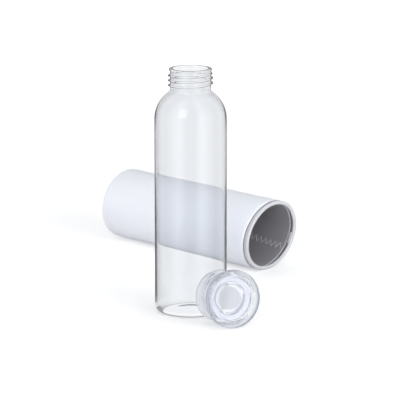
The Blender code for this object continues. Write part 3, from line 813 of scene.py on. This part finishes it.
def tube_section(outer_radius, thickness, corner, low, high, steps=14, longest=0.0025):
    """The section of a tube whose lower end curls in: up inside and down outside."""
    centre_r, centre_z = outer_radius - corner, low + corner
    points = np.vstack([
        arc(centre_r, centre_z, corner - thickness, -90, 0, steps),
        [[outer_radius - thickness, high], [outer_radius, high]],
        arc(centre_r, centre_z, corner, 0, -90, steps),
    ])
    return filled(points, longest)


def sag(angle, z, low, high):
    """How far the cloth stands off its round form: a few slow sine waves round and along the tube, which fade
    softly towards both of its ends."""
    waves = sum(height * np.sin(turns * angle + along * z + start) for height, turns, along, start in SAG_WAVES)
    return waves * smooth((z - low) / SAG_END) * smooth((high - z) / SAG_END)


def seam_ends(sizes):
    """The heights of the side seam's lower and upper end."""
    return 2 * sizes.corner, sizes.length - sizes.hem_width - 2 * sizes.hem_turn_in


def seam_angle(sizes, z):
    """Where the side seam is at each height: it winds from the hem to the closed end, by the share of the way
    to a power, so more with depth."""
    low, high = seam_ends(sizes)
    return sizes.seam_start + sizes.seam_twist * np.clip((high - z) / (high - low), 0.0, 1.0) ** SEAM_BEND


def angle_gap(a, b):
    """The signed angle from b to a, between minus and plus half a turn."""
    return np.mod(a - b + math.pi, math.tau) - math.pi


def bell(off, width):
    """1 where off is 0, falling to both sides as e to the minus the square of off by width."""
    return np.exp(-((off / width) ** 2))


def cloth_ring(name, section, columns, radius, bulge):
    """A closed section turned about Z as a ring of cloth. Across, its map is the share of the way round times
    the circle at the radius, and along, it is the way along the section. A face over the join goes on past
    the circle's end."""
    mesh = grid_mesh(name, revolved(section, columns, bulge), ring=True)
    circle = math.tau * radius
    along = np.concatenate([[0.0], np.cumsum(np.linalg.norm(np.diff(section, axis=0), axis=1))])
    corners = corners_of(mesh).reshape(-1, 4)
    column = corners % columns
    wraps = np.ptp(column, axis=1, keepdims=True) > columns // 2
    column = np.where(wraps & (column < columns // 2), column + columns, column)
    lay_map(mesh, np.stack([column / columns * circle, along[corners // columns]], axis=-1))
    return mesh


def add_cloth(mesh, sizes, material, node):
    """Leans a piece of the sleeve over, as the soft cloth gives way, and puts it in its place. The points move
    along the sleeve, by the height times the tangent of the lean, which grows evenly towards the mouth, less
    the place across times the tangent of the swing."""
    x, y, z = points_of(mesh).T
    lean = sizes.end_lean + (sizes.mouth_lean - sizes.end_lean) * z / sizes.length
    moved = z + y * np.tan(lean) - x * math.tan(sizes.swing)
    mesh.vertices.foreach_set("co", np.stack([x, y, moved], axis=1).ravel())
    return add_piece(mesh, sleeve_place(sizes.inset + sizes.shell / 2), material, "sleeve", node)


def sleeve_shell_mesh(sizes, columns=256):
    """The outer cloth: a tube curled in at its closed end, with slow waves, a shallow groove along the side
    seam and a pull-in under the hem's stitches."""
    high = sizes.length - sizes.hem_width - sizes.ease
    section = tube_section(sizes.radius, sizes.shell, sizes.corner, 0.0, high)
    outer_rows = section[:, :1] > sizes.radius - sizes.shell / 2
    wave, carve = 0.00012, 0.0003  # how high the waves are, and how deep groove and pull-in
    groove_width, groove_start, groove_rise, pull_width = 0.0009, 0.002, 0.004, 0.0016

    def bulge(angle, radius, z):
        seam = angle_gap(angle, seam_angle(sizes, z)) * sizes.radius
        groove = bell(seam, groove_width) * smooth((z - groove_start) / groove_rise)
        pull = bell(high - z, pull_width)
        return wave * sag(angle, z, sizes.corner, high) - carve * (groove + pull) * outer_rows

    return cloth_ring("sleeve_outer_cloth", section, columns, sizes.radius, bulge)


def sleeve_lining_mesh(sizes, columns=224, wave=0.00008):
    """The lining: a thinner tube inside the outer cloth, with the same slow waves, but lower."""
    low = sizes.shell + sizes.ease
    high = sizes.length - sizes.hem_width - sizes.ease - sizes.hem_turn_in
    section = tube_section(sizes.inner_radius + sizes.lining, sizes.lining, sizes.corner - low, low, high)

    def bulge(angle, radius, z):
        return wave * sag(angle, z, sizes.corner, high)

    return cloth_ring("sleeve_inner_cloth", section, columns, sizes.inner_radius, bulge)


def disc_mesh(name, radius, low, thickness, columns=160):
    """A round piece of cloth with a half-round edge: a flat section turned about Z. Its map is the place across
    the disc."""
    share = np.linspace(0.02, 1.0, 26)
    edge = radius - thickness / 2
    under = np.stack([share * edge, np.full(len(share), low)], axis=1)
    rim = arc(edge, low + thickness / 2, thickness / 2, -90, 90, 6)
    over = (under + [0.0, thickness])[::-1]
    mesh = grid_mesh(name, revolved(np.vstack([under[:-1], rim, over[1:]]), columns))
    lay_map(mesh, points_of(mesh)[corners_of(mesh), :2])
    return mesh


def hem_section(sizes, tuck=0.0002, longest=0.0003):
    """The binding's section, round it once from its inner end: up behind the raised edge to the roll, round
    the roll, down the outside to the outer edge and back along the underside. Also returns whether each point
    is unshaded: 0 in the channel behind the roll, where the binding gets painted shade, 1 elsewhere."""
    low = sizes.length - sizes.hem_width
    turn_in = low - sizes.hem_turn_in
    roll = sizes.hem_roll / 2
    middle_r, middle_z = sizes.radius - roll, sizes.length - roll
    inner, edge = sizes.inner_radius, sizes.hem_edge
    back, side = inner + sizes.lining, sizes.radius - tuck
    raised = arc(inner - edge / 2, turn_in + edge / 2, edge / 2, 270, 90, 6)
    channel = [[inner, turn_in + edge], [inner, sizes.length - sizes.hem_roll - tuck]]
    rolled = arc(middle_r, middle_z, roll, 250, -20, 30)
    outside = [[side, low + 3 * tuck], [side, low + tuck], [back, low]]
    section = filled(np.vstack([[[back, turn_in]], raised, channel, rolled, outside]), longest)
    r, z = section.T
    shaded = (z > turn_in + edge * 1.05) & (z < middle_z - roll * 0.3) & (r < inner + tuck / 2)
    return section, np.where(shaded, 0.0, 1.0)


def over_join(sizes, angle, fade=0.0008):
    """1 where the binding's ends overlap, falling softly to 0 beside it."""
    off = np.abs(angle_gap(angle, sizes.join_angle)) * sizes.inner_radius
    return smooth((sizes.join_width / 2 - off) / fade)


def hem_mesh(sizes, steps_per_rib=6):
    """The ribbed binding: its section turned about Z. Ribs run across it, its outer side is pulled in along
    the stitch line, and the overlap of its ends fills the channel behind the roll."""
    section, tone = hem_section(sizes)
    tone = tone[:, None]
    columns = sizes.hem_ribs * steps_per_rib
    middle_r = sizes.radius - sizes.hem_roll / 2
    stitch_line, pull_width = sizes.length - sizes.hem_width + 0.0004, 0.0009
    rib_height, pull_depth, join_height = 0.00007, 0.00055, 0.0007

    def bulge(angle, radius, z):
        outer = radius > middle_r
        ribs = rib_height * np.cos(angle * sizes.hem_ribs) * np.where(outer, 1.0, -1.0) * tone
        pull = pull_depth * bell(z - stitch_line, pull_width) * outer
        return ribs - pull - join_height * over_join(sizes, angle) * (1 - tone)

    mesh = cloth_ring("sleeve_binding", section, columns, sizes.radius, bulge)
    # Painted shade mark: 0 in the channel behind the roll, 1 where the binding's ends overlap and fill it
    lay_rows(mesh, "tone", np.maximum(tone, over_join(sizes, np.arange(columns) * math.tau / columns)))
    return mesh


def around(radius, angle, z):
    """Points on a circle about Z."""
    return np.stack([radius * np.cos(angle), radius * np.sin(angle), z + 0 * angle], axis=-1)


def hem_stitch_mesh(sizes):
    """The stitches that hold the binding, each a short bow along the circle whose ends dip into the cloth, and
    a few slanting ones across the overlap of its ends."""
    runs = []
    dip, stitch_share, sunk = 0.0004, 0.62, 0.0003
    bow = np.linspace(-0.5, 0.5, 5)
    height = sizes.length - sizes.hem_width + sizes.thread_radius
    for stitch in range(sizes.hem_stitches):
        angle = (stitch + bow * stitch_share) * math.tau / sizes.hem_stitches
        reach = sizes.radius - sunk - dip * (2 * bow) ** 4
        runs.append((around(reach, angle, height), around(1.0, angle, 0.0)))
    bottom = sizes.length - sizes.hem_width - sizes.hem_turn_in + sizes.hem_edge
    top = sizes.length - sizes.hem_roll
    radius, proud, slant = sizes.inner_radius - 0.0007, 0.0002, 0.2
    for place in (-0.36, -0.12, 0.12, 0.36):
        angle = sizes.join_angle + (place + slant * (STITCH - 0.5)) * sizes.join_width / radius
        reach = radius - proud + dip * BOW
        runs.append((around(reach, angle, bottom + (top - bottom) * STITCH), around(-1.0, angle, 0.0)))
    return tube_mesh("hem_threads", runs, sizes.thread_radius * 1.3)


def base_stitch_mesh(sizes):
    """The overcast stitches round the base: each crosses the join between tube and disc on a slant."""
    legs = sizes.base_stitches * 2
    beyond, span, dip = 0.0008, 0.0022, 0.0007
    reach = sizes.radius - sizes.corner + beyond - span * STITCH
    height = sizes.thread_radius * 0.6 + dip * BOW
    down = np.array([0.0, 0.0, -1.0])
    runs = [(around(reach, (leg + 0.5 * STITCH) * math.tau / legs, height), down) for leg in range(legs)]
    return tube_mesh("base_threads", runs, sizes.thread_radius)


def seam_stitch_mesh(sizes):
    """The zigzag down the inside, which winds round with the side seam: each leg is one bowed stitch."""
    proud, dip = 0.0002, 0.0003
    radius = sizes.inner_radius - proud
    low, high = seam_ends(sizes)
    legs = 2 * round((high - low) / sizes.seam_pitch)
    half = sizes.seam_width / 2 / radius
    runs = []
    for leg in range(legs):
        z = high + (low - high) * (leg + STITCH) / legs
        angle = seam_angle(sizes, z) - (2 * STITCH - 1) * (half if leg % 2 else -half)
        runs.append((around(radius + dip * BOW, angle, z), around(-1.0, angle, 0.0)))
    return tube_mesh("seam_threads", runs, sizes.thread_radius * 1.2)


class BOTTLE_OT_sleeve_cloth(bpy.types.Operator):
    """Make the sleeve's outer cloth, its lining and their two discs"""

    bl_idname = "bottle.sleeve_cloth"
    bl_label = "Sleeve cloth"

    def execute(self, context):
        sizes = context.scene.sleeve_settings
        white = knit_material(
            "white_knit", sizes.cloth, darker(sizes.cloth, 0.80), columns=1500.0, rows=1100.0, depth=0.00012,
            roughness=0.8, sheen=0.25,
        )
        grey = knit_material(
            "grey_knit", sizes.lining_colour, darker(sizes.lining_colour, 0.45), columns=1100.0, rows=800.0,
            depth=0.00015, roughness=0.75, sheen=0.35,
        )
        shell = add_cloth(sleeve_shell_mesh(sizes), sizes, white, "sleeve_shell")
        lining = add_cloth(sleeve_lining_mesh(sizes), sizes, grey, "sleeve_lining")
        radius = sizes.radius - sizes.corner - sizes.ease
        inner_low = sizes.inset + sizes.shell + sizes.ease
        disc = disc_mesh("sleeve_end_disc", radius, sizes.inset, sizes.shell)
        disc = add_cloth(disc, sizes, white, "sleeve_base")
        inner = disc_mesh("sleeve_end_lining", radius, inner_low, sizes.lining)
        inner = add_cloth(inner, sizes, grey, "sleeve_base_lining")
        return {"FINISHED"}


class BOTTLE_OT_sleeve_sewing(bpy.types.Operator):
    """Make the ribbed binding round the sleeve's mouth and all the stitches"""

    bl_idname = "bottle.sleeve_sewing"
    bl_label = "Sleeve sewing"

    def execute(self, context):
        sizes = context.scene.sleeve_settings
        ribs = sizes.hem_ribs / (math.tau * sizes.radius)
        band = rib_material("ribbed_binding", sizes.binding, darker(sizes.binding, 0.62), ribs)
        binding = add_cloth(hem_mesh(sizes), sizes, band, "sleeve_hem")
        thread = thread_material("sewing_thread", sizes.thread)
        pale = thread_material("inner_sewing_thread", sizes.inner_thread)
        add_cloth(hem_stitch_mesh(sizes), sizes, thread, "hem_stitching")
        add_cloth(base_stitch_mesh(sizes), sizes, thread, "base_stitching")
        add_cloth(seam_stitch_mesh(sizes), sizes, pale, "side_seam_stitching")
        return {"FINISHED"}


# The stage

SECTOR = math.tau / 8  # from one white sector seen through glass to the next
SECTOR_EDGE = math.radians(9), math.radians(14)  # where from its middle a sector's white starts to go, and is gone
FLAG_DEPTH = 0.4  # how dark the flags between the sectors are
BOTTLE_REACH = 0.03  # how far from the bottle's axis it stands on the floor
WORLD_REACH = 1000.0  # how far off the world is taken to be
FLOOR_LEVEL = -0.00005  # just under what stands on it
SQUARE = ((-1, -1), (1, -1), (1, 1), (-1, 1))
STRIPS = ((0.38, 0.25, 0.07), (0.61, 0.45, 0.07), (0.83, 1.3, 0.10))  # where in the turn, how bright and how wide
GLOW_LACK, GLOW_BASE, GLOW_RISE = 0.482, 1.194, 1.2  # what the glow lacks at the bottle, over base plus rise per metre
FAR_GLOW = 0.4, 1.4, 0.0, 0.7  # from which reach to which, and from which level to which, the glow far away goes
LAMPS = (  # name, degrees to the camera's left, degrees up, distance, width, height, power, mirrored
    ("softbox", 26.0, 30.0, 1.6, 0.72, 0.85, 3.6, True),
    ("front_fill", 9.0, 9.0, 2.4, 1.6, 1.0, 34.0, False),
    ("right_fill", -38.0, 20.0, 1.2, 0.9, 0.6, 9.5, False),
    ("overhead", 0.0, 85.0, 1.8, 1.4, 1.4, 3.0, False),
)


def surround(x, y, reach, glossy, dark):
    """How bright the surroundings look in gloss and in glass, by their direction from the bottle. Through
    glass there are white sectors, one of them where the eye looks straight through, with greyer flags
    between. In gloss there are dark flags on both sides behind the bottle, pale walls in front and three soft
    strips. Close to the bottle, reach away from its middle, the white widens by the bottle's own radius, and
    the floor right under it is pale in gloss."""
    turned = y.math("ARCTAN2", x) - VIEW_HEADING
    near = BOTTLE_REACH / reach
    off = ((turned * (1 / SECTOR) + 0.5).math("FRACT") - 0.5).math("ABSOLUTE") * SECTOR - near
    through = 1.0 - off.ramp(*SECTOR_EDGE) * FLAG_DEPTH * (1.0 - dark)
    side = ((turned / math.tau + 0.5).math("FRACT") - 0.5).math("ABSOLUTE") * 2.0 - near / math.pi
    stops = [
        (0.0, 1.0), (0.05, 1.0), (0.08, dark), (0.22, dark), (0.45, 0.3), (0.60, 0.55), (0.72, 0.7), (0.82, 0.7),
        (0.92, 0.25), (1.0, 0.25),
    ]
    mirrored = side.get("ShaderNodeValToRGB", 0, {"stops": stops}, Fac=side)
    round_about = (turned / math.tau).math("FRACT")
    for place, strength, width in STRIPS:
        mirrored = mirrored + (round_about - place).math("ABSOLUTE").ramp(0.01, width, strength, 0.0)
    if isinstance(reach, Value):
        under = reach.ramp(0.035, 0.09, 1.0, 0.0)
        mirrored = mirrored * (1.0 - under) + under * 0.8
    return through * (1.0 - glossy) + mirrored * glossy


def ray_kinds(place):
    """Masks for rays from the camera, for mirrored ones, and for those that are mirrored or go through glass.
    A ray that only goes through clear glass counts as glossy too, but its glossy depth stays 0."""
    path = place.node("ShaderNodeLightPath")
    camera, glossy, through, depth = (
        Value(place.tree, path.outputs[name])
        for name in ("Is Camera Ray", "Is Glossy Ray", "Is Transmission Ray", "Glossy Depth")
    )
    return camera, glossy * depth.math("MINIMUM", 1.0), glossy.math("MAXIMUM", through) * (1.0 - camera)


def floor_material(rgb, glow, dark, middle):
    """A pale floor that keeps soft shadows and is white to the eye: the eye also sees a glow, which is less
    near the bottle and in front of it, and which far away is at least an even one. In gloss and glass the
    floor shows the studio's white and its dark flags."""
    made, shader, place = new_material("pale_floor")
    set_shader(shader, Base_Color=(*rgb, 1.0), Roughness=0.9)
    camera, glossy, seen = ray_kinds(place)
    x, y, _ = place.parts()
    x, y = x - middle[0], y - middle[1]
    reach = (x * x + y * y).math("SQRT").math("MAXIMUM", 0.02)
    behind = x * math.cos(VIEW_HEADING) + y * math.sin(VIEW_HEADING)
    near = glow - GLOW_LACK / (GLOW_BASE + GLOW_RISE * behind.math("MAXIMUM", -0.5))
    glow = near.math("MAXIMUM", reach.ramp(*FAR_GLOW))
    lit = Value(place.tree, shader.outputs[0])
    glowing = place.get("ShaderNodeEmission", 0, None, Strength=glow)
    studio = place.get("ShaderNodeEmission", 0, None, Strength=surround(x, y, reach, glossy, dark))
    to_eye = place.get("ShaderNodeAddShader", 0, None, in0=lit, in1=glowing)
    set_surface(seen.mix_shaders(camera.mix_shaders(lit, to_eye), studio))
    return made


def make_world(strength, dark):
    """Even grey light all round, white to the camera. Gloss and glass see the same flags as the floor has,
    and a darker ceiling."""
    world = bpy.data.worlds.new("studio")
    bpy.context.scene.world = world
    world.use_nodes = True
    tree = world.node_tree
    place = Value(tree, tree.nodes.new("ShaderNodeTexCoord").outputs["Generated"])
    x, y, z = place.parts()
    camera, glossy, seen = ray_kinds(place)
    ceiling = place.get("ShaderNodeMapRange", 0, None, in0=z, in1=0.15, in2=0.5, in3=1.0, in4=0.6)
    flags = surround(x, y, WORLD_REACH, glossy, dark) * ceiling
    level = camera + seen * flags + (1.0 - camera) * (1.0 - seen) * strength
    set_shader(tree.nodes["Background"], Color=(0.97, 0.985, 1.0, 1.0), Strength=level)


def area_light(name, turn, rise, distance, width, height, power, mirrored):
    """A soft rectangular lamp turned towards the bottle. Turn is how far it stands to the left of the camera
    and rise how far above the horizon, in degrees. One that isn't mirrored leaves no highlight."""
    azimuth, height_angle = VIEW_HEADING + math.pi - math.radians(turn), math.radians(rise)
    level = math.cos(height_angle)
    toward = Vector((math.cos(azimuth) * level, math.sin(azimuth) * level, math.sin(height_angle)))
    lamp = bpy.data.lights.new(name, "AREA")
    lamp.shape = "RECTANGLE"
    lamp.size, lamp.size_y, lamp.energy = width, height, power
    made = bpy.data.objects.new(name, lamp)
    made.location = Vector(box_middle("bottle_glass")) + toward * distance
    made.rotation_euler = (-toward).to_track_quat("-Z", "Y").to_euler()
    made.visible_glossy = made.visible_transmission = mirrored
    bpy.context.scene.collection.objects.link(made)


def photo_camera():
    """The camera that sees the set as the photo shows it."""
    camera = bpy.data.cameras.new("photo_view")
    camera.lens, camera.sensor_width = VIEW_LENS, VIEW_SENSOR
    camera.clip_start, camera.clip_end = 0.05, 60.0
    made = bpy.data.objects.new("photo_view", camera)
    turn = Matrix.Rotation(VIEW_HEADING - math.pi / 2, 4, "Z")
    tilt = Matrix.Rotation(math.pi / 2 - VIEW_PITCH, 4, "X")
    made.matrix_world = Matrix.Translation(VIEW_PLACE) @ turn @ tilt @ Matrix.Rotation(VIEW_ROLL, 4, "Z")
    bpy.context.scene.collection.objects.link(made)
    return made


class BOTTLE_OT_stage(bpy.types.Operator):
    """Make the floor, the light and the camera"""

    bl_idname = "bottle.stage"
    bl_label = "Stage"

    def execute(self, context):
        scene = context.scene
        settings = scene.stage_settings
        mesh = bpy.data.meshes.new("floor")
        corners = [(x * settings.floor_size, y * settings.floor_size, FLOOR_LEVEL) for x, y in SQUARE]
        mesh.from_pydata(corners, [], [(0, 1, 2, 3)])
        middle = box_middle("bottle_glass")
        mesh.materials.append(floor_material(settings.floor_colour, settings.floor_glow, settings.flags, middle))
        floor = bpy.data.objects.new("floor", mesh)
        scene.collection.objects.link(floor)
        make_world(settings.light, settings.flags)
        for lamp in LAMPS:
            area_light(*lamp)
        scene.camera = photo_camera()
        scene.view_settings.view_transform = "Standard"
        return {"FINISHED"}


class BOTTLE_PT_panel(bpy.types.Panel):
    """Sizes, colours and the steps that make the set"""

    bl_idname = "BOTTLE_PT_panel"
    bl_label = "Glass bottle set"
    bl_space_type = "VIEW_3D"
    bl_region_type = "UI"
    bl_category = "Bottle"

    def draw(self, context):
        scene = context.scene
        for title, settings, steps in (
            ("Bottle", scene.bottle_settings, ("bottle.blown_glass",)),
            ("Lid", scene.lid_settings, ("bottle.screw_lid",)),
            ("Sleeve", scene.sleeve_settings, ("bottle.sleeve_cloth", "bottle.sleeve_sewing")),
            ("Stage", scene.stage_settings, ("bottle.stage",)),
        ):
            box = self.layout.box()
            box.label(text=title)
            for name in settings.__annotations__:
                box.prop(settings, name)
            for step in steps:
                box.operator(step)


SETTINGS = {
    "bottle_settings": BottleSettings,
    "lid_settings": LidSettings,
    "sleeve_settings": SleeveSettings,
    "stage_settings": StageSettings,
}
CLASSES = (
    *SETTINGS.values(),
    BOTTLE_OT_blown_glass,
    BOTTLE_OT_screw_lid,
    BOTTLE_OT_sleeve_cloth,
    BOTTLE_OT_sleeve_sewing,
    BOTTLE_OT_stage,
    BOTTLE_PT_panel,
)


def register():
    for kind in CLASSES:
        bpy.utils.register_class(kind)
    for name, kind in SETTINGS.items():
        setattr(bpy.types.Scene, name, PointerProperty(type=kind))


def unregister():
    for name in SETTINGS:
        delattr(bpy.types.Scene, name)
    for kind in reversed(CLASSES):
        bpy.utils.unregister_class(kind)


def main():
    register()
    bpy.ops.bottle.stage()
    bpy.ops.bottle.blown_glass()
    bpy.ops.bottle.screw_lid()
    bpy.ops.bottle.sleeve_cloth()
    bpy.ops.bottle.sleeve_sewing()


if __name__ == "__main__":
    main()
